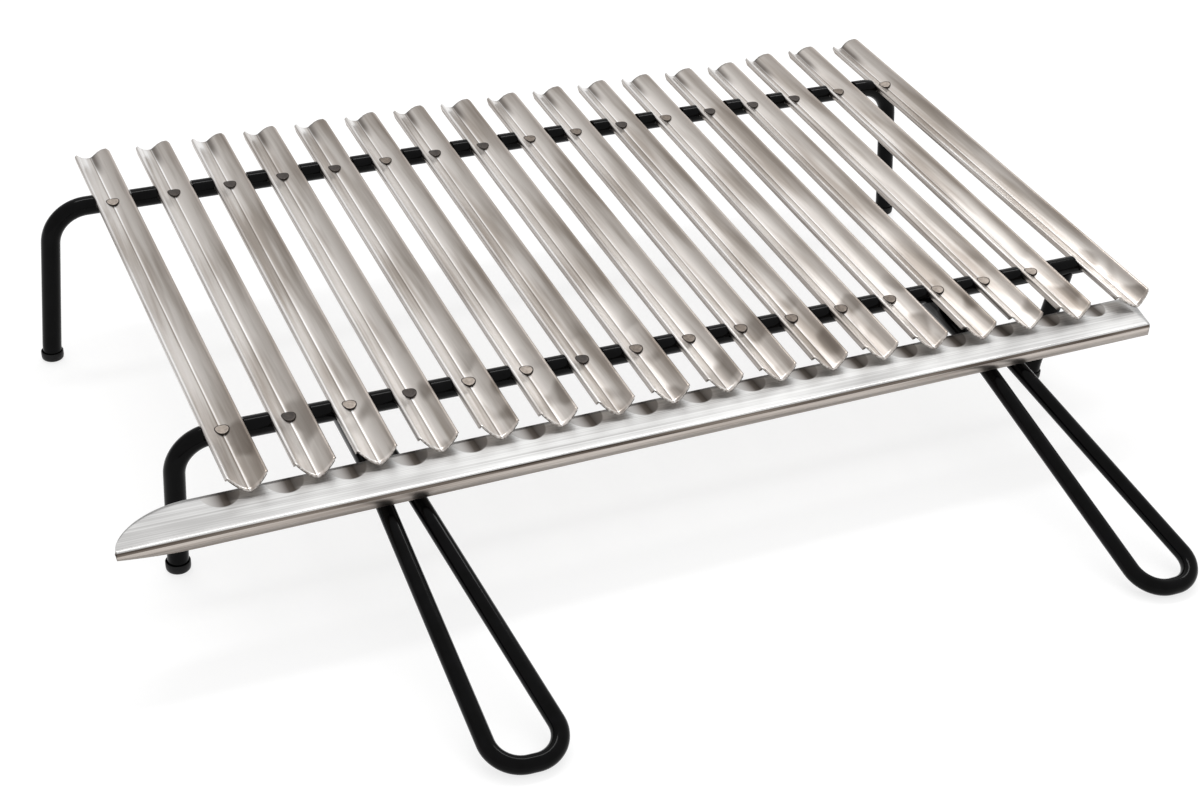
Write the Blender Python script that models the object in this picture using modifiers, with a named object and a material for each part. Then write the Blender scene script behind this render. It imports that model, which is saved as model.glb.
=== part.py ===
# Legged grill grate: V-section slats pinned across two bent rod frames, with a drip gutter along
# the front and two hairpin handles. Metres, +Z up, the slats run along Y and the front is at -Y.
import math
from math import radians

import bmesh
import bpy
from mathutils import Matrix, Vector

# Sizes that set the grate
slat_count = 17
slat_pitch = 0.027
first_slat_x = -0.1964
slat_rise = radians(4.45)
slat_front = 0.2350
slat_rear = 0.0515
rod_radius = 0.0047
handle_radius = 0.0038
rear_bar_y = 0.1594
rear_bar_z = 0.0819
front_bar_y = -0.0342
front_bar_z = 0.0658
gap = 0.0003

# The end slats sit a little off the pitch: shift to the right, and turn seen from above
slat_shift = {0: -0.0042, 1: -0.0016, 15: 0.0018, 16: 0.0073}
slat_turn = {0: radians(0.89), 1: radians(0.45), 15: radians(-0.25), 16: radians(0.65)}
# The last three reach further back
slat_reach = {14: 0.0040, 15: 0.0055, 16: 0.0055}

# Slat section, V bottom at z = 0 on the underside
sheet = 0.0009
half_width = 0.0089
flange_height = 0.0060
lip_height = 0.0031
crease_radius = 0.0012
flange_angle = radians(32)
front_cut_back = 0.0030
rear_cut_back = 0.0042
slat_base_z = 0.07954

# Pins: a head that fills the slat's hole and follows its V, on a shank let into the rod
head_radius = 0.0033
head_blank = 0.0045
pin_shift = 0.0010
shank_radius = 0.0012
shank_bottom = -0.0009

# Feet
cap_radius = 0.0055
cap_height = 0.0046
cap_floor = 0.0011
foot_edge = 0.0016

# The gutter and the handles' bends under it run slightly askew: metres back per metre to the right
gutter_skew = 0.012

scene = bpy.context.scene
for old in list(bpy.data.objects):
    bpy.data.objects.remove(old)

parts = bpy.data.collections.new("legged_grill_grate")
cutters = bpy.data.collections.new("cutters")
scene.collection.children.link(parts)
scene.collection.children.link(cutters)
cutters.hide_render = True


def material(name, colour, roughness, metallic):
    """A plain Principled BSDF material."""
    made = bpy.data.materials.new(name)
    made.use_nodes = True
    shader = made.node_tree.nodes["Principled BSDF"]
    shader.inputs["Base Color"].default_value = (*colour, 1.0)
    shader.inputs["Roughness"].default_value = roughness
    shader.inputs["Metallic"].default_value = metallic
    return made


def add_object(name, data, collection, finish=None):
    """Put new mesh or curve data in a collection as an object."""
    thing = bpy.data.objects.new(name, data)
    collection.objects.link(thing)
    if finish is not None:
        data.materials.append(finish)
    return thing


def add_cutter(name, data):
    """A cutter is only ever seen as wires."""
    cutter = add_object(name, data, cutters)
    cutter.display_type = "WIRE"
    cutter.hide_render = True
    return cutter


def cut(thing, cutter):
    """Take the cutter's shape out of the object."""
    boolean = thing.modifiers.new("cut " + cutter.name, "BOOLEAN")
    boolean.operation = "DIFFERENCE"
    boolean.solver = "EXACT"
    boolean.object = cutter


def arc(centre, start, across, angle, steps):
    """Points from centre + start, turned towards across through an angle."""
    return [
        centre + start * math.cos(angle * i / steps) + across * math.sin(angle * i / steps)
        for i in range(steps + 1)
    ]


def rounded_path(corners, radii, steps):
    """A polyline through the corners, each inner one rounded to its bend radius."""
    points = [corners[0]]
    for before, corner, after, radius in zip(corners, corners[1:], corners[2:], radii):
        into = (corner - before).normalized()
        out = (after - corner).normalized()
        turn = into.angle(out)
        inward = (out - into * into.dot(out)).normalized()
        start = corner - into * radius * math.tan(turn / 2)
        points += arc(start + inward * radius, -inward * radius, into * radius, turn, steps)
    points.append(corners[-1])
    return points


def with_rings(points):
    """Extra rings on a long straight, one halfway between each two slats."""
    ringed = [points[0]]
    for before, after in zip(points, points[1:]):
        if abs(after.x - before.x) > 3 * slat_pitch:
            for index in range(slat_count - 1):
                share = (first_slat_x + slat_pitch * (index + 0.5) - before.x) / (after.x - before.x)
                ringed.append(before.lerp(after, share))
        ringed.append(after)
    return ringed


def rod(name, points, radius, finish):
    """A round rod bent along a path, closed at both ends and turned into a mesh."""
    curve = bpy.data.curves.new(name, "CURVE")
    curve.dimensions = "3D"
    curve.bevel_depth = radius
    curve.bevel_resolution = 3
    curve.use_fill_caps = True
    curve.render_resolution_u = 0
    spline = curve.splines.new("POLY")
    spline.points.add(len(points) - 1)
    for place, point in zip(spline.points, points):
        place.co = (*point, 1.0)
    bent = add_object(name + "_path", curve, parts)
    bpy.context.view_layer.update()
    shape = bpy.data.meshes.new_from_object(bent.evaluated_get(bpy.context.evaluated_depsgraph_get()))
    shape.transform(bent.matrix_world)
    bpy.data.objects.remove(bent)
    mesh = bmesh.new()
    mesh.from_mesh(shape)
    bmesh.ops.remove_doubles(mesh, verts=mesh.verts, dist=0.00001)
    bmesh.ops.recalc_face_normals(mesh, faces=mesh.faces)
    mesh.to_mesh(shape)
    mesh.free()
    shape.name = name
    shape.shade_smooth()
    return add_object(name, shape, parts, finish)


def fold(profile, corner_steps=3):
    """Round the inner corners of a section given as (across, up, radius)."""
    corners = [Vector((across, 0.0, up)) for across, up, _ in profile]
    radii = [radius for _, _, radius in profile[1:-1]]
    return rounded_path(corners, radii, corner_steps)


def folded_sheet(name, section, stations, place, finish):
    """A sheet with this section carried through the stations, then given its thickness."""
    mesh = bmesh.new()
    columns = len(section) - 1
    rows = len(stations) - 1
    bmesh.ops.create_grid(mesh, x_segments=columns, y_segments=rows, size=0.5)
    for corner in mesh.verts:
        column = round((corner.co.x + 0.5) * columns)
        row = round((corner.co.y + 0.5) * rows)
        corner.co = place(section[column], stations[row])
    shape = bpy.data.meshes.new(name)
    mesh.to_mesh(shape)
    mesh.free()
    made = add_object(name, shape, parts, finish)
    wall = made.modifiers.new("sheet thickness", "SOLIDIFY")
    wall.thickness = sheet
    wall.offset = 0.0
    wall.use_even_offset = True
    return made


def turned(name, profile, steps, finish):
    """A round piece: a profile from the axis at the top round to the axis at the bottom."""
    mesh = bmesh.new()
    corners = [mesh.verts.new((radius, 0.0, height)) for radius, height in profile]
    for upper, lower in zip(corners, corners[1:]):
        mesh.edges.new((upper, lower))
    shape = bpy.data.meshes.new(name)
    mesh.to_mesh(shape)
    mesh.free()
    made = add_object(name, shape, parts, finish)
    spin = made.modifiers.new("turn", "SCREW")
    spin.steps = steps
    spin.render_steps = steps
    spin.use_merge_vertices = True
    spin.merge_threshold = 0.00001
    spin.use_smooth_shade = True
    return made


def slat_matrix(index):
    """Where a slat's own frame stands: at the rear bar, tilted up to the rear."""
    x = first_slat_x + slat_pitch * index + slat_shift.get(index, 0.0)
    turn = Matrix.Rotation(slat_turn.get(index, 0.0), 4, "Z")
    tilt = Matrix.Rotation(slat_rise, 4, "X")
    return Matrix.Translation((x, rear_bar_y, slat_base_z)) @ turn @ tilt


steel = material("brushed stainless slat", (0.46, 0.42, 0.38), 0.32, 1.0)
bright_steel = material("bright stainless gutter", (0.62, 0.62, 0.62), 0.22, 1.0)
pin_steel = material("tarnished steel pin", (0.19, 0.16, 0.14), 0.42, 1.0)
enamel = material("black enamelled rod", (0.012, 0.012, 0.013), 0.28, 0.0)
rubber = material("black foot cap", (0.014, 0.014, 0.015), 0.45, 0.0)

# The slats lie across the bars, so each bar is cut with a V seat and a pin hole for every slat.
# The front bar ends under the last slat, which has no pin there.
bar_distance = (rear_bar_y - front_bar_y) / math.cos(slat_rise)
pin_places = [
    (index, bar)
    for index in range(slat_count)
    for bar in ("rear", "front")
    if not (bar == "front" and index == slat_count - 1)
]


def valley_cutter(name, half_outline, middle, length):
    """Mirrored prisms that run along every slat over both bars, in one cutter."""
    outline = half_outline + [(-across, up) for across, up in reversed(half_outline)]
    mesh = bmesh.new()
    for index in range(slat_count):
        for along in (0.0, -bar_distance):
            stand = slat_matrix(index) @ Matrix.Translation((0.0, along + middle - length / 2, 0.0))
            corners = [mesh.verts.new(stand @ Vector((across, 0.0, up))) for across, up in outline]
            face = mesh.faces.new(corners)
            grown = bmesh.ops.extrude_face_region(mesh, geom=[face])
            side = [item for item in grown["geom"] if isinstance(item, bmesh.types.BMVert)]
            bmesh.ops.translate(mesh, verts=side, vec=stand.to_3x3() @ Vector((0.0, length, 0.0)))
    bmesh.ops.recalc_face_normals(mesh, faces=mesh.faces)
    shape = bpy.data.meshes.new(name)
    mesh.to_mesh(shape)
    mesh.free()
    return add_cutter(name, shape)


# A seat is flat under the pin's head and rises to the slat's lips
seat_outline = [
    (head_radius + gap, -gap),
    (half_width + gap, 0.0024),
    (half_width + gap, 0.0120),
]
slat_seats = valley_cutter("slat_seats", seat_outline, 0.0, 0.020)

# What is above the V is taken off the pin heads
valley_width = head_radius * 1.5
valley_outline = [
    (0.0002, sheet),
    (valley_width, sheet + valley_width * math.tan(flange_angle)),
    (valley_width, 0.0120),
]
pin_tops = valley_cutter("pin_tops", valley_outline, pin_shift, 0.010)


def pin_hole_cutter(name, radius, bottom, top, sides):
    """Upright cylinders at every pin, in one cutter."""
    mesh = bmesh.new()
    for index, bar in pin_places:
        along = -bar_distance if bar == "front" else 0.0
        stand = slat_matrix(index) @ Matrix.Translation((0.0, along + pin_shift, (top + bottom) / 2))
        bmesh.ops.create_cone(
            mesh, cap_ends=True, segments=sides, radius1=radius, radius2=radius,
            depth=top - bottom, matrix=stand,
        )
    shape = bpy.data.meshes.new(name)
    mesh.to_mesh(shape)
    mesh.free()
    return add_cutter(name, shape)


shank_holes = pin_hole_cutter("shank_holes", shank_radius + gap, shank_bottom - gap, 0.0100, 16)
head_holes = pin_hole_cutter("head_holes", head_radius + gap, -0.0030, 0.0100, 24)

# Slat section: lip, fold, flange, rounded crease, and the same again mirrored
middle = sheet / 2
crease_corner = middle - crease_radius * (1 / math.cos(flange_angle) - 1)
right_half = [
    (0.0, crease_corner, crease_radius),
    (half_width - middle, flange_height - middle, 0.0007),
    (half_width - middle, flange_height - lip_height, 0.0),
]
left_half = [(-across, up, radius) for across, up, radius in reversed(right_half[1:])]
slat_section = fold(left_half + right_half)


def slat_place(point, end):
    """The sheet's ends are cut back from the V bottom to the flanges."""
    cut_back = rear_cut_back if end > 0 else -front_cut_back
    share = min(1.0, abs(point.x) / half_width)
    return Vector((point.x, end - cut_back * share ** 1.2, point.z))


slats = []
for index in range(slat_count):
    ends = (-slat_front, slat_rear + slat_reach.get(index, 0.0))
    slat = folded_sheet(f"slat_{index + 1:02d}", slat_section, ends, slat_place, steel)
    slat.matrix_world = slat_matrix(index)
    cut(slat, head_holes)
    slats.append(slat)

pin_profile = [
    (0.0, head_blank),
    (head_radius, head_blank),
    (head_radius, 0.0),
    (shank_radius, 0.0),
    (shank_radius, shank_bottom),
    (0.0, shank_bottom),
]
for index, bar in pin_places:
    pin = turned(f"{bar}_pin_{index + 1:02d}", pin_profile, 16, pin_steel)
    pin.parent = slats[index]
    pin.location = (0.0, pin_shift - (bar_distance if bar == "front" else 0.0), 0.0)
    cut(pin, pin_tops)

# Rear frame: the cross bar turns down at both ends into legs that spread outward
foot_top = cap_floor + gap
rear_path = rounded_path(
    [
        Vector((-0.2391, rear_bar_y, foot_top)),
        Vector((-0.2388, rear_bar_y, 0.0080)),
        Vector((-0.2316, rear_bar_y, rear_bar_z)),
        Vector((0.2437, rear_bar_y, rear_bar_z)),
        Vector((0.2500, rear_bar_y, 0.0080)),
        Vector((0.2503, rear_bar_y, foot_top)),
    ],
    [0.030, 0.0190, 0.0190, 0.030],
    7,
)
rear_frame = rod("rear_frame", with_rings(rear_path), rod_radius, enamel)
cut(rear_frame, slat_seats)
cut(rear_frame, shank_holes)

# Front frame: lower, its cross bar runs on to a plain end under the last slat
front_path = rounded_path(
    [
        Vector((-0.2218, front_bar_y, foot_top)),
        Vector((-0.2193, front_bar_y, front_bar_z)),
        Vector((0.2506, front_bar_y, front_bar_z)),
    ],
    [0.0170],
    7,
)
front_frame = rod("front_frame", with_rings(front_path), rod_radius, enamel)
cut(front_frame, slat_seats)
cut(front_frame, shank_holes)

# The right front leg is its own rod, shaped at its top to the round underside of the bar
bar_shape = bpy.data.meshes.new("bar_clearance")
bar_mesh = bmesh.new()
across_turn = Matrix.Rotation(radians(90), 4, "Y")
bmesh.ops.create_cone(
    bar_mesh, cap_ends=True, segments=32, radius1=rod_radius + gap, radius2=rod_radius + gap,
    depth=0.030, matrix=Matrix.Translation((0.2304, front_bar_y, front_bar_z)) @ across_turn,
)
bar_mesh.to_mesh(bar_shape)
bar_mesh.free()
bar_clearance = add_cutter("bar_clearance", bar_shape)
right_leg_path = rounded_path(
    [
        Vector((0.2312, front_bar_y, front_bar_z)),
        Vector((0.2245, -0.0305, 0.0090)),
        Vector((0.2243, -0.0303, foot_top)),
    ],
    [0.030],
    5,
)
right_front_leg = rod("right_front_leg", right_leg_path, rod_radius, enamel)
cut(right_front_leg, bar_clearance)


def handle(name, rods_at_bar, rods_at_bend, rods_at_loop, loop_reach):
    """One rod: out from under the front bar, down to the ground, round the loop and back."""
    bar_end = (-0.0246, 0.0574)
    bend = (-0.0626 + gutter_skew * rods_at_bend[0], 0.0552)
    loop_z = handle_radius + gap
    corners = [
        Vector((rods_at_bar[0], *bar_end)),
        Vector((rods_at_bend[0], *bend)),
        Vector((rods_at_loop[0], -loop_reach[0], loop_z)),
        Vector((rods_at_loop[1], -loop_reach[1], loop_z)),
        Vector((rods_at_bend[1], *bend)),
        Vector((rods_at_bar[1], *bar_end)),
    ]
    return rod(name, rounded_path(corners, [0.030, 0.0139, 0.0128, 0.030], 8), handle_radius, enamel)


handle("left_handle", (-0.1446, -0.1355), (-0.1447, -0.1333), (-0.1410, -0.1089), (0.2060, 0.2078))
handle("right_handle", (0.1555, 0.1658), (0.1553, 0.1681), (0.1644, 0.1955), (0.2063, 0.2065))

# Foot caps: turned cups with a flat underside
cap_bore = rod_radius + gap
cap_profile = [
    (0.0, cap_floor),
    (cap_bore, cap_floor),
    (cap_bore, cap_height),
    (cap_radius - 0.0001, cap_height),
    (cap_radius, cap_height - 0.0004),
    (cap_radius, foot_edge),
    (cap_radius - foot_edge * 0.3, foot_edge * 0.4),
    (cap_radius - foot_edge, 0.0),
    (0.0, 0.0),
]
feet = {
    "rear_left_foot": (-0.2391, rear_bar_y),
    "rear_right_foot": (0.2503, rear_bar_y),
    "front_left_foot": (-0.2218, front_bar_y),
    "front_right_foot": (0.2243, -0.0303),
}
for name, (x, y) in feet.items():
    cap = turned(name, cap_profile, 24, rubber)
    cap.location = (x, y, 0.0)

# Drip gutter: level sheet under the slat ends, front edge folded down, left end a rounded spout
gutter_top = 0.0595
gutter_rear_y = -0.0654
gutter_front_y = -0.0894
gutter_lip = 0.0056
gutter_left = -0.2561
gutter_right = 0.2505
spout_length = 0.0340
right_end_slant = 0.0065
gutter_section = fold([(0.0, 0.0, 0.0), (1.0, 0.0, 0.07), (1.0, -1.0, 0.0)])


def gutter_place(point, station):
    """Across the section from the rear edge to the lip; the left end runs out to a point."""
    spout = max(0.0, 1.0 - (station - gutter_left) / spout_length)
    rear_y = gutter_rear_y - (gutter_rear_y - gutter_front_y) * (1.0 - math.sqrt(1.0 - spout ** 2))
    depth = rear_y - gutter_front_y + 0.0012
    lip = gutter_lip * (1.0 - 0.45 * spout ** 2)
    if station == gutter_right:
        station -= right_end_slant * point.x
    y = rear_y - depth * point.x + gutter_skew * station
    return Vector((station, y, gutter_top - sheet / 2 + lip * point.z))


spout_shares = (0.004, 0.03, 0.09, 0.18, 0.3, 0.45, 0.62, 0.8, 1.0)
gutter_stations = [gutter_left + spout_length * share for share in spout_shares] + [gutter_right]
folded_sheet("drip_gutter", gutter_section, gutter_stations, gutter_place, bright_steel)
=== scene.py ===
import math
from math import radians

import bmesh
import bpy
import numpy as np
from mathutils import Matrix, Vector


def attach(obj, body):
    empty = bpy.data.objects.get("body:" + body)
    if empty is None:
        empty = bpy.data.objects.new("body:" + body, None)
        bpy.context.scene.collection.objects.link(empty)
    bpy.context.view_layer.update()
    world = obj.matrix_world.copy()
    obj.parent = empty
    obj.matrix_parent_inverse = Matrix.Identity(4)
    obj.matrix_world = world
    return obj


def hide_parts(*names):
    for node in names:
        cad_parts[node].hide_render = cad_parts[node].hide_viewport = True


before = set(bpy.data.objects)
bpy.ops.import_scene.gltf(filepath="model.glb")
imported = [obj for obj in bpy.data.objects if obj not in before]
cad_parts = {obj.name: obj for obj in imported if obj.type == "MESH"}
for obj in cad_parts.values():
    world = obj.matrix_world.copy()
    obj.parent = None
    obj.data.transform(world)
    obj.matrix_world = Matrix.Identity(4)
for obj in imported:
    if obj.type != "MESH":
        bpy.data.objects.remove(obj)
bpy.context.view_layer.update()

# Slats: seventeen strips of brushed stainless sheet, each folded to a V with a turned-down lip at
# either side. Their ends are cut back so that the V's bottom runs on furthest. They lie side by side
# in one plane that rises to the rear, pinned to two cross bars.
SLATS = 17
PITCH = 0.027
FIRST_X = -0.1964
RISE = radians(4.45)
REAR_BAR = Vector((0.0, 0.1594, 0.0819))
SLAT_Z = 0.07954
# How far a slat reaches from the rear bar, forwards and back
SLAT_FRONT = 0.2350
SLAT_REAR = 0.0515
SHEET = 0.0009
HALF_WIDTH = 0.0089
FLANGE_HEIGHT = 0.0060
LIP = 0.0031
# The rolled crease's radius, and the slopes at which the flange leaves it and meets the lip's fold
CREASE = 0.0032
CREASE_ANGLE = radians(20)
EDGE_ANGLE = radians(38)
FOLD = 0.0005
# How far the lip's lower edge is tucked in
TUCK = 0.0004
# Millimetres that each slat stands to the right of an even pitch
slat_shift = (-4.7, -1.4, 0.0, 0.3, 0.8, 1.3, 1.5, 1.4, 1.3, 1.3, 1.3, 1.3, 1.4, 1.5, 1.1, 3.0, 7.4)
# Slats near the sides, counted from 0: their turn about the upright, their roll, their longer reach
slat_turn = {0: radians(0.89), 1: radians(0.45), 15: radians(-0.25), 16: radians(0.65)}
slat_roll = {0: radians(-2), 16: radians(-8)}
slat_reach = {14: 0.0040, 15: 0.0055, 16: 0.0055}


def slat_matrix(index):
    """A slat's own frame: at the rear bar, tilted up to the rear."""
    x = FIRST_X + PITCH * index + slat_shift[index] / 1000
    turn = Matrix.Rotation(slat_turn.get(index, 0.0), 4, "Z")
    tilt = Matrix.Rotation(RISE, 4, "X")
    roll = Matrix.Rotation(slat_roll.get(index, 0.0), 4, "Y")
    return Matrix.Translation((x, REAR_BAR.y, SLAT_Z)) @ turn @ tilt @ roll


def colour(code):
    """A hex colour as the linear values that a shader takes."""
    channels = [int(code[i:i + 2], 16) / 255 for i in (1, 3, 5)]
    linear = [c / 12.92 if c <= 0.04045 else ((c + 0.055) / 1.055) ** 2.4 for c in channels]
    return (*linear, 1.0)


def connect(tree, node, inputs):
    """Sets each of a node's inputs to a value, or links it to another node's output."""
    for socket, source in inputs.items():
        if isinstance(source, bpy.types.NodeSocket):
            tree.links.new(source, node.inputs[socket])
        else:
            node.inputs[socket].default_value = source


def add_node(tree, kind, inputs, stops=(), **settings):
    """Adds a node with its settings and links; stops are a ramp's positions and hex colours."""
    node = tree.nodes.new(kind)
    for key, value in settings.items():
        setattr(node, key, value)
    if stops:
        elements = node.color_ramp.elements
        while len(elements) < len(stops):
            elements.new(0.5)
        for element, (position, code) in zip(elements, stops):
            element.position = position
            element.color = colour(code)
    connect(tree, node, inputs)
    return node


def new_material(name, inputs):
    """A Principled material; returns it with its tree and its shader."""
    made = bpy.data.materials.new(name)
    made.use_nodes = True
    shader = made.node_tree.nodes["Principled BSDF"]
    connect(made.node_tree, shader, inputs)
    return made, made.node_tree, shader


def grain(tree, size, detail=3.0):
    """Noise in the object's coordinates, this many millimetres long along each axis."""
    place = add_node(tree, "ShaderNodeTexCoord", {}).outputs["Object"]
    scale = [1000 / length for length in size]
    drawn_out = add_node(tree, "ShaderNodeMapping", {"Vector": place, "Scale": scale}).outputs[0]
    links = {"Vector": drawn_out, "Scale": 1.0, "Detail": detail}
    return add_node(tree, "ShaderNodeTexNoise", links).outputs["Fac"]


def patch(tree, limits, strength=1.0):
    """How much of a mark shows, where each (source, start, end) fades it in from start to end."""
    shown = strength
    for source, start, end in limits:
        links = {"Value": source, "From Min": start, "From Max": end}
        share = add_node(tree, "ShaderNodeMapRange", links, interpolation_type="SMOOTHSTEP").outputs[0]
        shown = add_node(tree, "ShaderNodeMath", {0: shown, 1: share}, operation="MULTIPLY").outputs[0]
    return shown


# Warm brushed stainless: lines along the slat draw each reflection out lengthwise. Real lines are
# some 0.1 mm apart, too fine to show, so they are drawn 2.4 mm apart with wide, faint clouds.
slat_steel, tree, shader = new_material("warm brushed stainless", {"Metallic": 1.0})
sheet_place = add_node(tree, "ShaderNodeTexCoord", {}).outputs
across = add_node(tree, "ShaderNodeSeparateXYZ", {0: sheet_place["UV"]}).outputs[0]
along = add_node(tree, "ShaderNodeSeparateXYZ", {0: sheet_place["Object"]}).outputs[1]
# From the left lip to the right, painted light: a painted highlight on the fold's bright edge, the left
# flange painted pale as a reflection, the painted shade line and painted highlight beside the crease, and
# the right flange painted warmer and darker towards its edge
flange_painted_light_tones = [
    (0.055, "#FFFFFF"), (0.080, "#D2CDC9"), (0.110, "#E8E6E4"), (0.300, "#F1F0EF"), (0.428, "#D6D2CE"),
    (0.448, "#B5AEA8"), (0.466, "#877E77"), (0.484, "#F4F2F0"), (0.506, "#FFFFFF"), (0.526, "#DDD7D2"),
    (0.720, "#D9D3CD"), (0.930, "#B7ADA5"),
]
flanges_painted_light = add_node(tree, "ShaderNodeValToRGB", {0: across}, flange_painted_light_tones).outputs[0]
brushing = grain(tree, (2.381, 200.0, 4.762), 2.0)
clouds = grain(tree, (29.41, 71.43, 29.41), 1.0)
mixed = add_node(tree, "ShaderNodeMix", {0: 0.5, 2: brushing, 3: clouds}).outputs[0]
shade = add_node(tree, "ShaderNodeValToRGB", {0: mixed}, [(0.38, "#CFCAC5"), (0.56, "#FFFFFF")]).outputs[0]
steel = add_node(
    tree, "ShaderNodeMix", {0: 1.0, 6: flanges_painted_light, 7: shade}, data_type="RGBA", blend_type="MULTIPLY",
).outputs[2]
# Painted reflections: brown blotches on the front half's right flange, and a dark smudge by the crease at
# the rear
blotch_noise = grain(tree, (13.33, 23.81, 13.33), 1.0)
front_painted_reflection = [(blotch_noise, 0.50, 0.64), (along, 0.0, -0.040), (across, 0.46, 0.60)]
rear_painted_reflection = [(across, 0.45, 0.52), (across, 0.71, 0.55), (along, 0.185, 0.201)]
for limits, strength, dark, light in (
    (front_painted_reflection, 0.62, "#5F554C", "#776C62"),
    (rear_painted_reflection, 0.85, "#4E4741", "#5F5750"),
):
    tint = add_node(tree, "ShaderNodeValToRGB", {0: brushing}, [(0.3, dark), (0.7, light)]).outputs[0]
    links = {0: patch(tree, limits, strength), 6: steel, 7: tint}
    steel = add_node(tree, "ShaderNodeMix", links, data_type="RGBA").outputs[2]
dullness = add_node(tree, "ShaderNodeMapRange", {"Value": brushing, "To Min": 0.26, "To Max": 0.36})
relief = add_node(tree, "ShaderNodeBump", {"Height": brushing, "Distance": 0.00002, "Strength": 0.10})
connect(tree, shader, {"Base Color": steel, "Roughness": dullness.outputs[0], "Normal": relief.outputs[0]})


def two_tone(name, inputs, size, stops):
    """A finish whose colour wanders between two tones in a grain of this size."""
    made, tree, shader = new_material(name, inputs)
    tone = add_node(tree, "ShaderNodeValToRGB", {0: grain(tree, size)}, stops).outputs[0]
    connect(tree, shader, {"Base Color": tone})
    return made


# The back of the sheet is duller than its face, with broad lines along the slat
slat_back = two_tone(
    "dull stainless underside", {"Metallic": 1.0, "Roughness": 0.42},
    (2.0, 111.1, 3.333), [(0.30, "#A79F98"), (0.70, "#C6BFB9")],
)
# Sheared edges glitter in grains of about a millimetre
slat_edge = two_tone(
    "cut stainless edge", {"Metallic": 1.0, "Roughness": 0.35},
    (1.111, 1.111, 1.111), [(0.35, "#8A817A"), (0.65, "#D9D4CF")],
)
# The lips are painted a darker, browner colour as shade on their down-turned faces, so each slat has a thin
# dark outline
lip_painted_shade = two_tone(
    "stainless lip, painted shade", {"Metallic": 1.0, "Roughness": 0.34},
    (1.429, 166.7, 2.857), [(0.30, "#877C73"), (0.70, "#B3AAA2")],
)
slat_finishes = [slat_steel, slat_back, slat_edge, lip_painted_shade]
CREASE_STEPS = 5
FLANGE_STEPS = 7
FOLD_STEPS = 8


def half_section():
    """Right half of the slat's section: round crease, dished flange, fold and lip."""
    points = []
    for step in range(CREASE_STEPS + 1):
        angle = CREASE_ANGLE * step / CREASE_STEPS
        points.append(Vector((CREASE * math.sin(angle), 0.0, SHEET / 2 + CREASE * (1 - math.cos(angle)))))
    start = points[-1]
    centre = Vector((HALF_WIDTH - SHEET / 2 - FOLD, 0.0, FLANGE_HEIGHT - SHEET / 2 - FOLD))
    end = centre + FOLD * Vector((-math.sin(EDGE_ANGLE), 0.0, math.cos(EDGE_ANGLE)))
    run = end.x - start.x
    straight_rise = run * math.tan(CREASE_ANGLE)
    for step in range(1, FLANGE_STEPS + 1):
        share = step / FLANGE_STEPS
        rise = straight_rise * share + (end.z - start.z - straight_rise) * share ** 2
        points.append(start + Vector((run * share, 0.0, rise)))
    for step in range(1, FOLD_STEPS + 1):
        angle = EDGE_ANGLE - (EDGE_ANGLE + math.pi / 2) * step / FOLD_STEPS
        points.append(centre + FOLD * Vector((-math.sin(angle), 0.0, math.cos(angle))))
    points.append(Vector((HALF_WIDTH - SHEET / 2 - TUCK, 0.0, FLANGE_HEIGHT - LIP)))
    return points


def grid_mesh(name, columns, rows, place):
    """A grid with every vertex put where place(column, row) says."""
    mesh = bmesh.new()
    bmesh.ops.create_grid(mesh, x_segments=columns, y_segments=rows, size=0.5)
    for corner in mesh.verts:
        column = round((corner.co.x + 0.5) * columns)
        row = round((corner.co.y + 0.5) * rows)
        corner.co = place(column, row)
    made = bpy.data.meshes.new(name)
    mesh.to_mesh(made)
    mesh.free()
    return made


def add_piece(name, mesh, materials, node):
    """A mesh becomes a piece of the object that stands for a CAD node."""
    piece = bpy.data.objects.new(name, mesh)
    bpy.context.scene.collection.objects.link(piece)
    for item in materials:
        mesh.materials.append(item)
    mesh.shade_smooth()
    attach(piece, "root")
    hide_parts(node)
    return piece


def thicken(piece, sheet):
    """Gives a sheet its thickness, with the second finish below and the third on the cut edges."""
    wall = piece.modifiers.new("sheet thickness", "SOLIDIFY")
    wall.thickness = sheet
    wall.offset = 0.0
    wall.material_offset = 1
    wall.material_offset_rim = 2


right_half = half_section()
section = [Vector((-point.x, 0.0, point.z)) for point in reversed(right_half[1:])] + right_half
# Points further out than this are the lip and the outer half of its fold
lip_from = section[-1].x - 0.0001
# How far the ends are cut back across the width, in millimetres from the left edge to the right
cut_across = (-8.9, -5.6, -2.0, 0.0, 2.0, 4.0, 6.0, 7.5, 8.9)
rear_cut = (7.5, 6.6, 4.2, 3.0, 1.9, 1.4, 2.4, 4.6, 9.0)
front_cut = (4.6, 2.7, 0.6, 0.0, 0.5, 1.2, 2.0, 2.7, 3.8)
# The length over which a cut end's shape runs out, and the slant of the lips' own ends
END_LENGTH = 0.012
LIP_SLANT = 0.9
# Rows of the mesh by each end, and the number of even steps between them
end_rows = (0.0, 0.002, 0.005, 0.009, 0.014)
MIDDLE_STEPS = 26
# Low faces further out than this are the lips
low_lip_from = 0.95 * section[-1].x
# The width that the finish's map across the sheet takes from 0 to 1
MAP_WIDTH = 0.020


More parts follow.
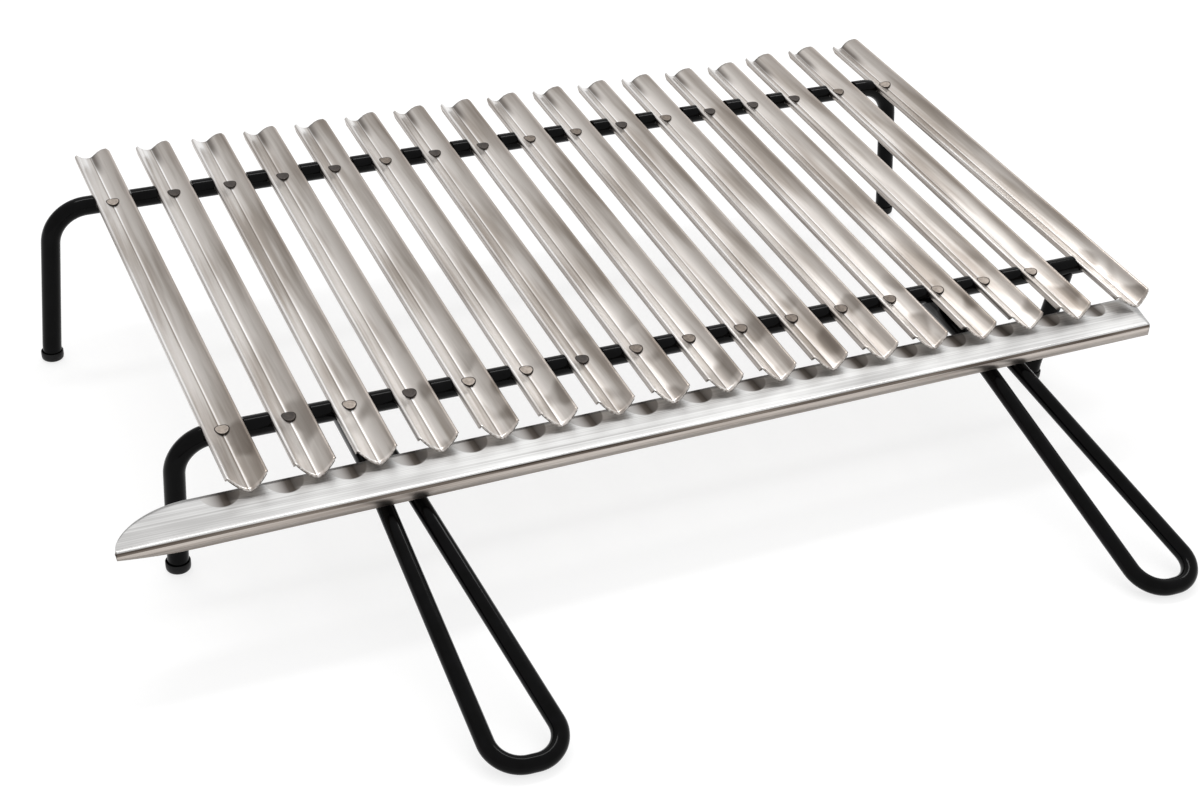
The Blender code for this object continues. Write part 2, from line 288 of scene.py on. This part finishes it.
def slat_mesh(name, index):
    """One slat's sheet in its place, its ends cut back."""
    reach = SLAT_FRONT + SLAT_REAR + slat_reach.get(index, 0.0)
    middle = reach - 2 * end_rows[-1]
    rows = list(end_rows[:-1])
    rows += [end_rows[-1] + middle * step / MIDDLE_STEPS for step in range(MIDDLE_STEPS + 1)]
    rows += [reach - row for row in reversed(end_rows[:-1])]

    def place(column, row):
        point = section[column]
        front = max(0.0, 1.0 - rows[row] / END_LENGTH)
        rear = max(0.0, 1.0 - (reach - rows[row]) / END_LENGTH)
        along = rows[row] - SLAT_FRONT
        along += front * np.interp(point.x * 1000, cut_across, front_cut) / 1000
        along -= rear * np.interp(point.x * 1000, cut_across, rear_cut) / 1000
        if abs(point.x) > lip_from:
            along += (front - rear) * (FLANGE_HEIGHT - point.z) * LIP_SLANT
        return slat_matrix(index) @ Vector((point.x, along, point.z))

    return grid_mesh(name, len(section) - 1, len(rows) - 1, place)


for index in range(SLATS):
    node = f"slat_{index + 1:02d}"
    mesh = slat_mesh(node, index)
    to_slat = slat_matrix(index).inverted()
    sheet_map = mesh.uv_layers.new(name="across and along")
    for face in mesh.polygons:
        middle = to_slat @ face.center
        on_lip = middle.z < FLANGE_HEIGHT - SHEET and abs(middle.x) > low_lip_from
        face.material_index = slat_finishes.index(lip_painted_shade) if on_lip else 0
        for loop in face.loop_indices:
            point = to_slat @ mesh.vertices[mesh.loops[loop].vertex_index].co
            sheet_map.data[loop].uv = (0.5 + point.x / MAP_WIDTH, point.y)
    slat = add_piece("steel_" + node, mesh, slat_finishes, node)
    thicken(slat, SHEET)

# Pins: stainless pins through the bottom of each slat into the bar below, each with a round head
# that fills its hole. The head's top is half as deep a V as the slat's. The last slat has none at
# the front.
FRONT_BAR = Vector((0.0, -0.0342, 0.0658))
BAR_DISTANCE = (REAR_BAR.y - FRONT_BAR.y) / math.cos(RISE)
# The rear bar's right end stands this much further back than its left end
REAR_SKEW = 0.0026
# A pin stands this far behind its bar's middle
PIN_SHIFT = 0.0012
HEAD = 0.0028
HOLE = 0.0032
# Heights from the shallow V that the head follows: its top, the hole's edge and the sunk lower end
CROWN = 0.00018
RIM = 0.00006
SUNK = -0.00065
# Faces further from the pin's axis than this are the hole's edge, painted dark as shade
EDGE_FROM = HEAD + 0.00003
TURNED_SIDES = 40
head_profile = [
    (0.0, CROWN), (HEAD * 0.25, CROWN), (HEAD * 0.5, CROWN), (HEAD * 0.75, CROWN), (HEAD - 0.0002, 0.00017),
    (HEAD, 0.00010), (HEAD + 0.0001, RIM), (HOLE, RIM), (HOLE, SUNK), (0.0, SUNK),
]
# Each pin's tone; the pins that aren't named are brown
pin_tones = {
    "rear": {"pale": (1, 17), "dark": (2, 3, 4, 5, 7, 8, 11, 13, 14, 15)},
    "front": {"pale": (1, 3, 5, 6, 14, 15, 16), "dark": (2, 4, 7)},
}


def valley(across):
    """Height of a slat's upper face at this distance from its crease."""
    for before, after in zip(section, section[1:]):
        if before.x <= across < after.x:
            run = after - before
            return before.z + (across - before.x) * run.z / run.x + SHEET / 2 * run.length / run.x
    return FLANGE_HEIGHT


def turned_mesh(name, profile, stand):
    """A profile from the axis at the top round to the axis below, spun about Z."""
    mesh = bmesh.new()
    corners = [mesh.verts.new((radius, 0.0, height)) for radius, height in profile]
    edges = [mesh.edges.new(pair) for pair in zip(corners, corners[1:])]
    bmesh.ops.spin(
        mesh, geom=corners + edges, cent=(0, 0, 0), axis=(0, 0, 1), angle=2 * math.pi,
        steps=TURNED_SIDES, use_merge=True,
    )
    bmesh.ops.remove_doubles(mesh, verts=mesh.verts, dist=0.000005)
    bmesh.ops.recalc_face_normals(mesh, faces=mesh.faces)
    mesh.transform(stand)
    made = bpy.data.meshes.new(name)
    mesh.to_mesh(made)
    mesh.free()
    return made


# The hole's rim is painted dark as the shade in the gap round the head, almost without shine
hole_gap_painted_shade = two_tone(
    "painted shade in hole gap", {"Metallic": 0.6, "Roughness": 0.6},
    (1.111, 1.111, 1.111), [(0.35, "#1C1714"), (0.65, "#3A322C")],
)
# Pin heads come in three tones, dark, brown and pale, and are satin, so they show as flat discs
pin_steels = {
    tone: two_tone(
        tone + " pin steel", {"Metallic": 0.35, "Roughness": 0.45},
        (1.429, 1.429, 1.429), [(0.35, dark), (0.65, light)],
    )
    for tone, dark, light in (
        ("dark", "#241D19", "#3A312B"),
        ("brown", "#5E544B", "#7A6F65"),
        ("pale", "#8A8077", "#A69B91"),
    )
}
for bar, pins in (("rear", SLATS), ("front", SLATS - 1)):
    for number in range(1, pins + 1):
        node = f"{bar}_pin_{number:02d}"
        tone = next((name for name, numbers in pin_tones[bar].items() if number in numbers), "brown")
        along = PIN_SHIFT - BAR_DISTANCE
        if bar == "rear":
            along = PIN_SHIFT + REAR_SKEW * (number - 1) / (SLATS - 1)
        finishes = [pin_steels[tone], hole_gap_painted_shade]
        mesh = turned_mesh(node, head_profile, Matrix.Identity(4))
        for corner in mesh.vertices:
            corner.co.z += (valley(corner.co.x) + valley(HOLE)) / 2
        for face in mesh.polygons:
            on_edge = face.center.xy.length > EDGE_FROM
            face.material_index = finishes.index(hole_gap_painted_shade) if on_edge else 0
        mesh.transform(slat_matrix(number - 1) @ Matrix.Translation((0.0, along, 0.0)))
        add_piece("head_" + node, mesh, finishes, node)

# Rods: bent round steel rod under black enamel. The rear frame is a bar with two legs and the front
# frame a bar with a left leg. Both bars are cut with a V seat for every slat, and the front bar ends
# plainly under the last one.
ROD = 0.0047
GAP = 0.0003
# A seat: flat under the crease, then sloped up gently to either side, and open above
SEAT_FLAT = 0.0036
SEAT_SIDE = HALF_WIDTH + GAP
SEAT_RISE = 0.0024
SEAT_TOP = 0.0120
SEAT_LENGTH = 0.020
# Where each leg stands
feet = {
    "rear_left_foot": (-0.2391, REAR_BAR.y),
    "rear_right_foot": (0.2503, REAR_BAR.y),
    "front_left_foot": (-0.2218, FRONT_BAR.y),
    "front_right_foot": (0.2243, -0.0303),
}
# Heights of the legs' lower ends, inside the caps, and of the slight bend above them
LEG_END = 0.0014
KNEE = 0.0080
KNEE_BEND = 0.030
# Gloss enamel: almost black, with soft narrow highlights and a faint ripple in the coat
enamel, tree, shader = new_material("black gloss enamel", {"Roughness": 0.13, "Specular IOR Level": 0.08})
depth = grain(tree, (6.25, 6.25, 6.25))
black = add_node(tree, "ShaderNodeValToRGB", {0: depth}, [(0.35, "#020202"), (0.70, "#070708")])
ripple = grain(tree, (2.381, 2.381, 2.381), 2.0)
relief = add_node(tree, "ShaderNodeBump", {"Height": ripple, "Distance": 0.00004, "Strength": 0.20})
connect(tree, shader, {"Base Color": black.outputs[0], "Normal": relief.outputs[0]})


def arc(centre, start, across, angle, steps):
    """Points from centre + start, turned towards across through an angle."""
    return [
        centre + start * math.cos(angle * i / steps) + across * math.sin(angle * i / steps)
        for i in range(steps + 1)
    ]


def rounded_path(corners, radii, steps):
    """A polyline through the corners, each inner one rounded to its bend radius."""
    points = [corners[0]]
    for before, corner, after, radius in zip(corners, corners[1:], corners[2:], radii):
        into = (corner - before).normalized()
        out = (after - corner).normalized()
        turn = into.angle(out)
        inward = (out - into * into.dot(out)).normalized()
        start = corner - into * radius * math.tan(turn / 2)
        points += arc(start + inward * radius, -inward * radius, into * radius, turn, steps)
    points.append(corners[-1])
    return points


def with_rings(points):
    """Extra rings on a bar's straight, one halfway between each two slats."""
    ringed = [points[0]]
    for before, after in zip(points, points[1:]):
        if abs(after.x - before.x) > 3 * PITCH:
            for index in range(SLATS - 1):
                share = (FIRST_X + PITCH * (index + 0.5) - before.x) / (after.x - before.x)
                ringed.append(before.lerp(after, share))
        ringed.append(after)
    return ringed


def rod_mesh(name, points, radius):
    """A round rod along a path, closed at both ends."""
    curve = bpy.data.curves.new(name, "CURVE")
    curve.dimensions = "3D"
    curve.bevel_depth = radius
    curve.bevel_resolution = 8
    curve.use_fill_caps = True
    spline = curve.splines.new("POLY")
    spline.points.add(len(points) - 1)
    for place, point in zip(spline.points, points):
        place.co = (*point, 1.0)
    bent = bpy.data.objects.new(name, curve)
    bpy.context.scene.collection.objects.link(bent)
    bpy.context.view_layer.update()
    made = bpy.data.meshes.new_from_object(bent.evaluated_get(bpy.context.evaluated_depsgraph_get()))
    bpy.data.objects.remove(bent)
    mesh = bmesh.new()
    mesh.from_mesh(made)
    bmesh.ops.remove_doubles(mesh, verts=mesh.verts, dist=0.00001)
    bmesh.ops.recalc_face_normals(mesh, faces=mesh.faces)
    mesh.to_mesh(made)
    mesh.free()
    return made


def cut_mesh(mesh, cutter_mesh):
    """The mesh with the cutter's shape taken out."""
    body = bpy.data.objects.new("body", mesh)
    cutter = bpy.data.objects.new("cutter", cutter_mesh)
    for item in (body, cutter):
        bpy.context.scene.collection.objects.link(item)
    boolean = body.modifiers.new("cut", "BOOLEAN")
    boolean.solver = "EXACT"
    boolean.object = cutter
    bpy.context.view_layer.update()
    made = bpy.data.meshes.new_from_object(body.evaluated_get(bpy.context.evaluated_depsgraph_get()))
    bpy.data.objects.remove(body)
    bpy.data.objects.remove(cutter)
    return made


seat_outline = [
    (-SEAT_SIDE, SEAT_RISE), (-SEAT_FLAT, -GAP), (SEAT_FLAT, -GAP), (SEAT_SIDE, SEAT_RISE),
    (SEAT_SIDE, SEAT_TOP), (-SEAT_SIDE, SEAT_TOP),
]
seats = bmesh.new()
for index in range(SLATS):
    for along in (0.0, -BAR_DISTANCE):
        stand = slat_matrix(index) @ Matrix.Translation((0.0, along - SEAT_LENGTH / 2, 0.0))
        face = seats.faces.new([seats.verts.new(stand @ Vector((x, 0.0, z))) for x, z in seat_outline])
        grown = bmesh.ops.extrude_face_region(seats, geom=[face])
        side = [item for item in grown["geom"] if isinstance(item, bmesh.types.BMVert)]
        bmesh.ops.translate(seats, verts=side, vec=stand.to_3x3() @ Vector((0.0, SEAT_LENGTH, 0.0)))
bmesh.ops.recalc_face_normals(seats, faces=seats.faces)
seat_mesh = bpy.data.meshes.new("seats")
seats.to_mesh(seat_mesh)
seats.free()

rear_points = rounded_path(
    [
        Vector((*feet["rear_left_foot"], LEG_END)),
        Vector((-0.2388, REAR_BAR.y, KNEE)),
        Vector((-0.2316, REAR_BAR.y, REAR_BAR.z)),
        Vector((0.2437, REAR_BAR.y + REAR_SKEW, REAR_BAR.z)),
        Vector((0.2500, REAR_BAR.y, KNEE)),
        Vector((*feet["rear_right_foot"], LEG_END)),
    ],
    [KNEE_BEND, 0.0190, 0.0190, KNEE_BEND],
    steps=20,
)
front_points = rounded_path(
    [
        Vector((*feet["front_left_foot"], LEG_END)),
        Vector((-0.2193, FRONT_BAR.y, FRONT_BAR.z)),
        Vector((0.2506, FRONT_BAR.y, FRONT_BAR.z)),
    ],
    [0.0170],
    steps=20,
)
for node, points in (("rear_frame", rear_points), ("front_frame", front_points)):
    mesh = cut_mesh(rod_mesh(node, with_rings(points), ROD), seat_mesh)
    add_piece("enamel_" + node, mesh, [enamel], node)
    mesh.set_sharp_from_angle(angle=radians(35))

# Right front leg: a short piece of the same enamelled rod, welded under the front bar some way in
# from its end. Its top is hollowed to fit round the bar.
CLEAR_X = 0.2304
CLEAR_LENGTH = 0.030
bar_space = bmesh.new()
bmesh.ops.create_cone(
    bar_space, cap_ends=True, segments=48, radius1=ROD + GAP, radius2=ROD + GAP, depth=CLEAR_LENGTH,
    matrix=Matrix.Translation((CLEAR_X, FRONT_BAR.y, FRONT_BAR.z)) @ Matrix.Rotation(radians(90), 4, "Y"),
)
bar_mesh = bpy.data.meshes.new("space for the bar")
bar_space.to_mesh(bar_mesh)
bar_space.free()
leg_points = rounded_path(
    [
        Vector((0.2312, FRONT_BAR.y, FRONT_BAR.z)),
        Vector((0.2245, -0.0305, 0.0090)),
        Vector((*feet["front_right_foot"], LEG_END)),
    ],
    [KNEE_BEND],
    steps=12,
)
mesh = cut_mesh(rod_mesh("right_front_leg", leg_points, ROD), bar_mesh)
add_piece("enamel_right_front_leg", mesh, [enamel], "right_front_leg")
mesh.set_sharp_from_angle(angle=radians(35))

# Handles: two hairpins of thinner enamelled rod, welded under the front bar. Each runs forwards,
# bends under the gutter, goes down to the ground and comes back round a loop.
HANDLE_ROD = 0.0038
HANDLE_REAR = -0.0246
HANDLE_REAR_Z = 0.0574
HANDLE_BEND = -0.0626
HANDLE_BEND_Z = 0.0552
LOOP_Z = HANDLE_ROD + GAP
# The gutter stands slightly askew, so far back for each metre to the right, and the bends follow it
SKEW = 0.012
handle_radii = [0.030, 0.0139, 0.0128, 0.030]
for node, at_bar, at_bend, at_loop, loop_y in (
    ("left_handle", (-0.1446, -0.1355), (-0.1447, -0.1333), (-0.1410, -0.1089), (-0.2060, -0.2078)),
    ("right_handle", (0.1555, 0.1658), (0.1553, 0.1681), (0.1644, 0.1955), (-0.2063, -0.2065)),
):
    bend_y = HANDLE_BEND + SKEW * at_bend[0]
    corners = [
        Vector((at_bar[0], HANDLE_REAR, HANDLE_REAR_Z)),
        Vector((at_bend[0], bend_y, HANDLE_BEND_Z)),
        Vector((at_loop[0], loop_y[0], LOOP_Z)),
        Vector((at_loop[1], loop_y[1], LOOP_Z)),
        Vector((at_bend[1], bend_y, HANDLE_BEND_Z)),
        Vector((at_bar[1], HANDLE_REAR, HANDLE_REAR_Z)),
    ]
    mesh = rod_mesh(node, rounded_path(corners, handle_radii, steps=24), HANDLE_ROD)
    add_piece("enamel_" + node, mesh, [enamel], node)

# Foot caps: moulded black rubber cups pushed on the lower ends of the four legs. Each is a little
# wider than the rod and rounded below, so that the frame stands without scratching.
cap_profile = [
    (0.0, 0.0011), (0.0050, 0.0011), (0.0050, 0.0046), (0.0051, 0.00475), (0.0053, 0.00475),
    (0.0055, 0.0045), (0.0055, 0.0018), (0.00535, 0.0010), (0.0050, 0.0005), (0.0045, 0.00015),
    (0.0039, 0.0), (0.0, 0.0),
]
# Satin black, a touch greyer than the enamel, with a broad soft shine
cap_black = two_tone(
    "satin black cap", {"Roughness": 0.38, "Specular IOR Level": 0.2},
    (1.667, 1.667, 1.667), [(0.35, "#090909"), (0.70, "#131314")],
)
for node, (x, y) in feet.items():
    mesh = turned_mesh(node, cap_profile, Matrix.Translation((x, y, 0.0)))
    add_piece("cap_" + node, mesh, [cap_black], node)
    mesh.set_sharp_from_angle(angle=radians(50))

# Drip gutter: a level strip of bright stainless sheet under the slats' front ends, with its front
# edge folded down. The left end is cut to a rounded spout and the right end almost square. It rests
# on the handles.
GUTTER_TOP = 0.0595
GUTTER_REAR = -0.0654
GUTTER_FRONT = -0.0894
GUTTER_DEPTH = GUTTER_REAR - GUTTER_FRONT
GUTTER_LEFT = -0.2561
GUTTER_RIGHT = 0.2505
# The spout's length along the gutter, how round its outline is, and how much lower its lip gets
SPOUT = 0.0340
SPOUT_ROUND = 0.62
SPOUT_LIP = 0.45
# The folded lip: its depth, the fold's radius, and how far the lip stands in front of the flat
GUTTER_LIP = 0.0056
GUTTER_FOLD = 0.0014
FOLD_OUT = 0.0012
# At the spout's tip the fold takes up at most this share of the flat
FOLD_SHARE = 0.8
# How far the right end slants back, from the rear edge to the front
RIGHT_SLANT = 0.0065
# Columns of the mesh over the flat and the fold, and rows along the spout and the rest
FLAT_COLUMNS = 12
FOLD_COLUMNS = 8
SPOUT_ROWS = 32
STRAIGHT_ROWS = 60
# Painted reflections of the slats' ends on the flat: their pitch, the first one's middle, half width and
# depth
SLAT_REFLECTION_PITCH = 0.0271
SLAT_REFLECTION_X = -0.2091
SLAT_REFLECTION_HALF = 0.0086
SLAT_REFLECTION_DEPTH = 0.0110

# Bright brushed stainless: neutral and lighter than the slats, with soft lines along the gutter.
# Real lines are some 0.1 mm apart, too fine to show, so they are drawn 0.7 mm apart.
gutter_steel, tree, shader = new_material("bright brushed stainless", {"Metallic": 1.0})
fine = grain(tree, (142.9, 0.6667, 0.6667), 4.0)
broad = grain(tree, (71.43, 16.67, 16.67), 2.0)
mixed = add_node(tree, "ShaderNodeMix", {0: 0.6, 2: fine, 3: broad}).outputs[0]
plain = add_node(tree, "ShaderNodeValToRGB", {0: mixed}, [(0.38, "#B3B2B1"), (0.62, "#E2E2E1")]).outputs[0]
# Each painted reflection of a slat's end is half an ellipse from the rear edge, darkest right of its middle
place = add_node(tree, "ShaderNodeTexCoord", {}).outputs["Object"]
x, y = add_node(tree, "ShaderNodeSeparateXYZ", {0: place}).outputs[:2]
links = {0: x, 1: SLAT_REFLECTION_X + SLAT_REFLECTION_PITCH / 2, 2: SLAT_REFLECTION_X - SLAT_REFLECTION_PITCH / 2}
wrapped = add_node(tree, "ShaderNodeMath", links, operation="WRAP").outputs[0]
links = {0: wrapped, 1: 1 / SLAT_REFLECTION_HALF, 2: -SLAT_REFLECTION_X / SLAT_REFLECTION_HALF}
across = add_node(tree, "ShaderNodeMath", links, operation="MULTIPLY_ADD").outputs[0]
links = {0: x, 1: SKEW, 2: GUTTER_REAR}
rear_edge = add_node(tree, "ShaderNodeMath", links, operation="MULTIPLY_ADD").outputs[0]
forward = add_node(tree, "ShaderNodeMath", {0: rear_edge, 1: y}, operation="SUBTRACT").outputs[0]
down = add_node(tree, "ShaderNodeMath", {0: forward, 1: SLAT_REFLECTION_DEPTH}, operation="DIVIDE").outputs[0]
squared = add_node(tree, "ShaderNodeMath", {0: across, 1: across}, operation="MULTIPLY").outputs[0]
links = {0: down, 1: down, 2: squared}
round_out = add_node(tree, "ShaderNodeMath", links, operation="MULTIPLY_ADD").outputs[0]
reflection_shown = patch(tree, [(round_out, 1.0, 0.84), (x, SLAT_REFLECTION_X - SLAT_REFLECTION_PITCH / 2, SLAT_REFLECTION_X - SLAT_REFLECTION_HALF)])
reflection_tones = [
    (0.0, "#BDBBB9"), (0.30, "#8F8B88"), (0.50, "#57514C"), (0.70, "#4B4540"), (0.88, "#8F8C89"),
    (1.0, "#A9A7A5"),
]
slat_end_reflection = add_node(tree, "ShaderNodeValToRGB", {0: patch(tree, [(across, -1.0, 1.0)])}, reflection_tones).outputs[0]
steel = add_node(tree, "ShaderNodeMix", {0: reflection_shown, 6: plain, 7: slat_end_reflection}, data_type="RGBA").outputs[2]
dullness = add_node(tree, "ShaderNodeMapRange", {"Value": fine, "To Min": 0.36, "To Max": 0.48})
relief = add_node(tree, "ShaderNodeBump", {"Height": fine, "Distance": 0.00002, "Strength": 0.10})
connect(tree, shader, {"Base Color": steel, "Roughness": dullness.outputs[0], "Normal": relief.outputs[0]})
# The folded lip has a warmer, browner tint than the flat
lip_steel = two_tone(
    "taupe stainless lip", {"Metallic": 1.0, "Roughness": 0.34},
    (111.1, 1.111, 1.111), [(0.30, "#A1978F"), (0.70, "#CFC7C0")],
)
# Painted shade: the fold's outer turn is coloured as a dark line along the gutter
bend_painted_shade = two_tone(
    "painted shade on bend", {"Metallic": 1.0, "Roughness": 0.30},
    (83.33, 2.0, 2.0), [(0.35, "#453C36"), (0.65, "#8B8178")],
)
gutter_finishes = [gutter_steel, slat_back, slat_edge, lip_steel, bend_painted_shade]


def gutter_section(station):
    """From the rear edge over the flat to the fold and down the lip, at one place along the gutter."""
    spout = max(0.0, 1.0 - (station - GUTTER_LEFT) / SPOUT)
    rear = GUTTER_REAR - GUTTER_DEPTH * (1.0 - (1.0 - spout ** 2) ** SPOUT_ROUND)
    front = GUTTER_FRONT - FOLD_OUT
    lip = GUTTER_LIP * (1.0 - SPOUT_LIP * spout ** 2)
    top = GUTTER_TOP - SHEET / 2
    corners = [Vector((0.0, rear, top)), Vector((0.0, front, top)), Vector((0.0, front, top - lip))]
    fold = min(GUTTER_FOLD, FOLD_SHARE * (rear - front))
    bent = rounded_path(corners, [fold], FOLD_COLUMNS)
    return [bent[0].lerp(bent[1], step / FLAT_COLUMNS) for step in range(FLAT_COLUMNS)] + bent[1:]


straight = GUTTER_RIGHT - GUTTER_LEFT - SPOUT
stations = [
    GUTTER_LEFT + SPOUT * (1 - math.cos(math.pi / 2 * step / SPOUT_ROWS)) for step in range(SPOUT_ROWS + 1)
]
stations += [GUTTER_LEFT + SPOUT + straight * step / STRAIGHT_ROWS for step in range(1, STRAIGHT_ROWS + 1)]
sections = [gutter_section(station) for station in stations]


def gutter_place(column, row):
    """The right end slants back, and the whole strip stands slightly askew."""
    point = sections[row][column]
    station = stations[row]
    if row == len(stations) - 1:
        station -= RIGHT_SLANT * (GUTTER_REAR - point.y) / GUTTER_DEPTH
    return Vector((station, point.y + SKEW * station, point.z))


columns = len(sections[0]) - 1
mesh = grid_mesh("drip_gutter", columns, len(stations) - 1, gutter_place)
for face in mesh.polygons:
    column = face.index % columns
    if column >= FLAT_COLUMNS + FOLD_COLUMNS:
        face.material_index = gutter_finishes.index(lip_steel)
    elif column >= FLAT_COLUMNS + FOLD_COLUMNS // 2:
        face.material_index = gutter_finishes.index(bend_painted_shade)
gutter = add_piece("steel_drip_gutter", mesh, gutter_finishes, "drip_gutter")
thicken(gutter, SHEET)

# Floor: a plain white studio floor. A glow that only the camera and reflections see tops up the
# light that falls on it, so that it shows white and keeps the object's shadow.
FLOOR_HALF = 6.0
FLOOR_GLOW = 0.74
white_floor, tree, shader = new_material("white floor", {"Base Color": colour("#909090"), "Roughness": 0.9})
ray = add_node(tree, "ShaderNodeLightPath", {}).outputs
links = {0: ray["Is Camera Ray"], 1: ray["Is Glossy Ray"]}
seen = add_node(tree, "ShaderNodeMath", links, operation="MAXIMUM").outputs[0]
glow = add_node(tree, "ShaderNodeMath", {0: seen, 1: FLOOR_GLOW}, operation="MULTIPLY").outputs[0]
emission = add_node(tree, "ShaderNodeEmission", {"Strength": glow}).outputs[0]
both = add_node(tree, "ShaderNodeAddShader", {0: shader.outputs[0], 1: emission}).outputs[0]
connect(tree, tree.nodes["Material Output"], {"Surface": both})
flat = bmesh.new()
bmesh.ops.create_grid(flat, x_segments=1, y_segments=1, size=FLOOR_HALF)
floor_mesh = bpy.data.meshes.new("floor")
flat.to_mesh(floor_mesh)
flat.free()
floor_mesh.materials.append(white_floor)
floor = bpy.data.objects.new("floor", floor_mesh)
bpy.context.scene.collection.objects.link(floor)

# Light: a white surround, darker low down at the rear left, which the camera sees as plain white,
# and one long strip lamp overhead behind the grate.
world = bpy.data.worlds.new("studio")
bpy.context.scene.world = world
world.use_nodes = True
tree = world.node_tree
place = add_node(tree, "ShaderNodeTexCoord", {}).outputs["Generated"]
x, y, z = add_node(tree, "ShaderNodeSeparateXYZ", {0: place}).outputs
dark_side = patch(tree, [(x, 0.50, -0.80), (z, 1.00, 0.45), (y, 0.05, 0.45)])
level = add_node(tree, "ShaderNodeMapRange", {"Value": dark_side, "To Min": 0.90, "To Max": 0.58}).outputs[0]
ray = add_node(tree, "ShaderNodeLightPath", {}).outputs
shown = add_node(tree, "ShaderNodeMath", {0: level, 1: ray["Is Camera Ray"]}, operation="MAXIMUM").outputs[0]
connect(tree, tree.nodes["Background"], {"Color": colour("#FFFFFF"), "Strength": shown})

STRIP_PLACE = Vector((0.4, 0.60, 1.5))
STRIP_TARGET = Vector((0.4, 0.1, 0.0))
strip_light = bpy.data.lights.new("long overhead strip", "AREA")
strip_light.shape = "RECTANGLE"
strip_light.size = 1.8
strip_light.size_y = 0.22
strip_light.energy = 13.0
strip = bpy.data.objects.new("long overhead strip", strip_light)
strip.location = STRIP_PLACE
strip.rotation_euler = (STRIP_TARGET - STRIP_PLACE).to_track_quat("-Z", "Y").to_euler()
bpy.context.scene.collection.objects.link(strip)

# Camera: where the photo's perspective puts it, for a 1200 by 800 frame.
lens = bpy.data.cameras.new("camera")
lens.sensor_width = 36.0
lens.lens = 57.876
lens.clip_start = 0.01
camera = bpy.data.objects.new("camera", lens)
camera.location = (-0.3455, -0.7092, 0.5188)
camera.rotation_euler = (radians(57.4945), radians(-2.3622), radians(-24.0069))
bpy.context.scene.collection.objects.link(camera)
bpy.context.scene.camera = camera
bpy.context.scene.view_settings.view_transform = "Standard"
